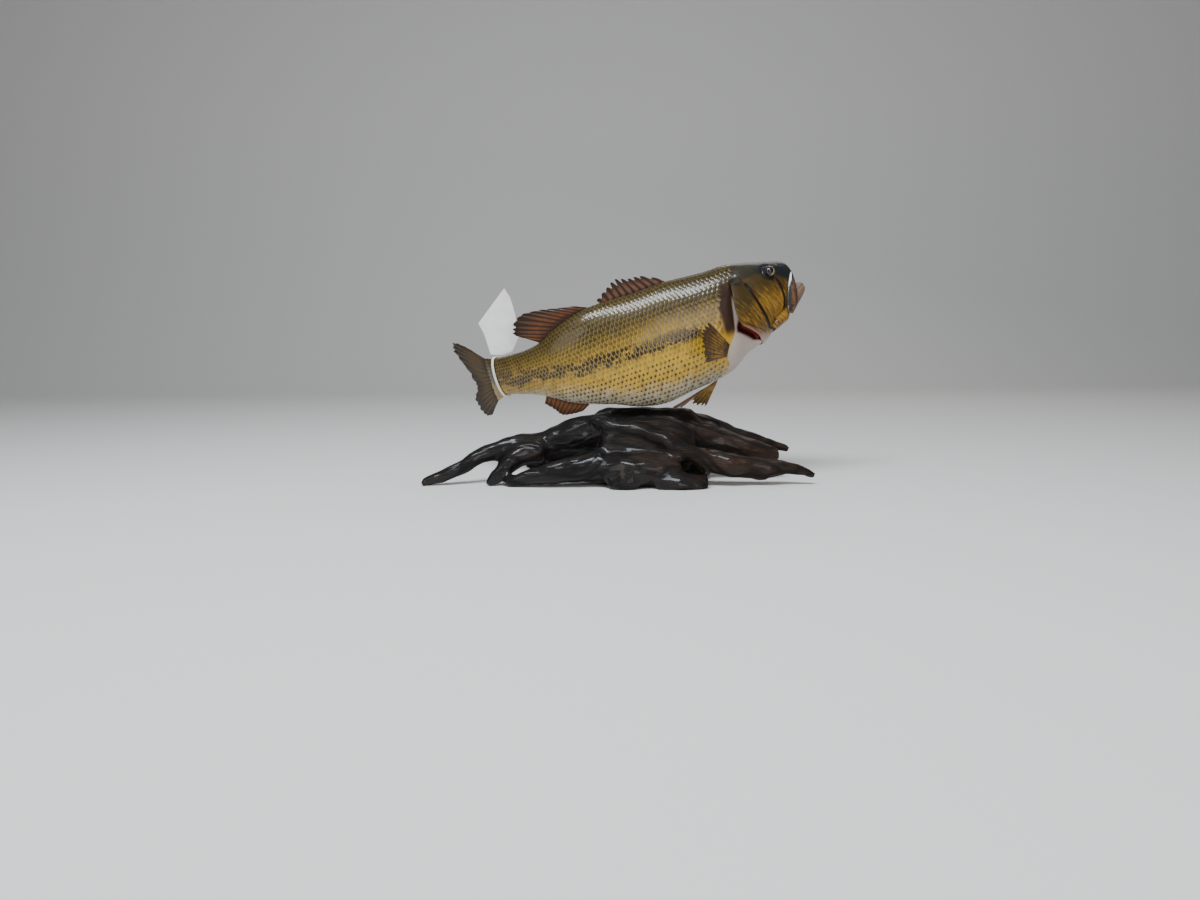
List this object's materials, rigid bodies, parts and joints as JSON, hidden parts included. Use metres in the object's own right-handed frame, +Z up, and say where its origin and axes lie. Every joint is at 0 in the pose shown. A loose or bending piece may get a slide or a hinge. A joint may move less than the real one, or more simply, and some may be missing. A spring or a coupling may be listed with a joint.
{
  "type": "mounted largemouth bass",
  "caption": "Largemouth bass mounted in a swimming curve, nose up, on a varnished piece of driftwood, with a blank card on a band round its tail.",
  "frame": {"origin": "centre of the footprint of the whole mount, on the surface that the driftwood stands on", "axes": "+X towards the fish's snout, +Y towards the fish's left and the side its tail bends to, +Z up"},
  "size_m": [0.4486, 0.1977, 0.2517],
  "materials": {
    "flank_skin": "varnished dried fish skin, olive back, golden flank, whitish belly",
    "head_skin": "varnished painted skin, dark olive above, golden brown on the cheek",
    "jaw_skin": "varnished painted skin, pinkish chin and whitish underside",
    "maxilla_skin": "varnished dark brown bony plate",
    "gill_red": "painted red, satin",
    "glass_eye": "glass eye, black pupil and golden iris",
    "dark_fin": "varnished dried fin, dark brown rays, red-brown webbing",
    "warm_fin": "varnished dried fin, orange-brown rays, yellowish webbing",
    "driftwood": "very dark varnished driftwood",
    "tag_card": "plain white card",
    "tag_band": "white band"
  },
  "bodies": {
    "root": {"trunk": "flank_skin", "tail_stock": "flank_skin", "head": "head_skin", "lower_jaw": "jaw_skin", "gill_cover_right": "head_skin", "gill_cover_left": "head_skin", "gills_right": "gill_red", "gills_left": "gill_red", "maxilla_right": "maxilla_skin", "maxilla_left": "maxilla_skin", "eye_right": "glass_eye", "eye_left": "glass_eye", "pectoral_fin_right": "dark_fin", "pectoral_fin_left": "dark_fin", "pelvic_fin_right": "warm_fin", "pelvic_fin_left": "warm_fin", "spiny_dorsal_fin": "dark_fin", "soft_dorsal_fin": "dark_fin", "anal_fin": "warm_fin", "caudal_fin": "dark_fin", "driftwood": "driftwood", "tag_card": "tag_card", "tag_band": "tag_band"}
  },
  "joints": []
}
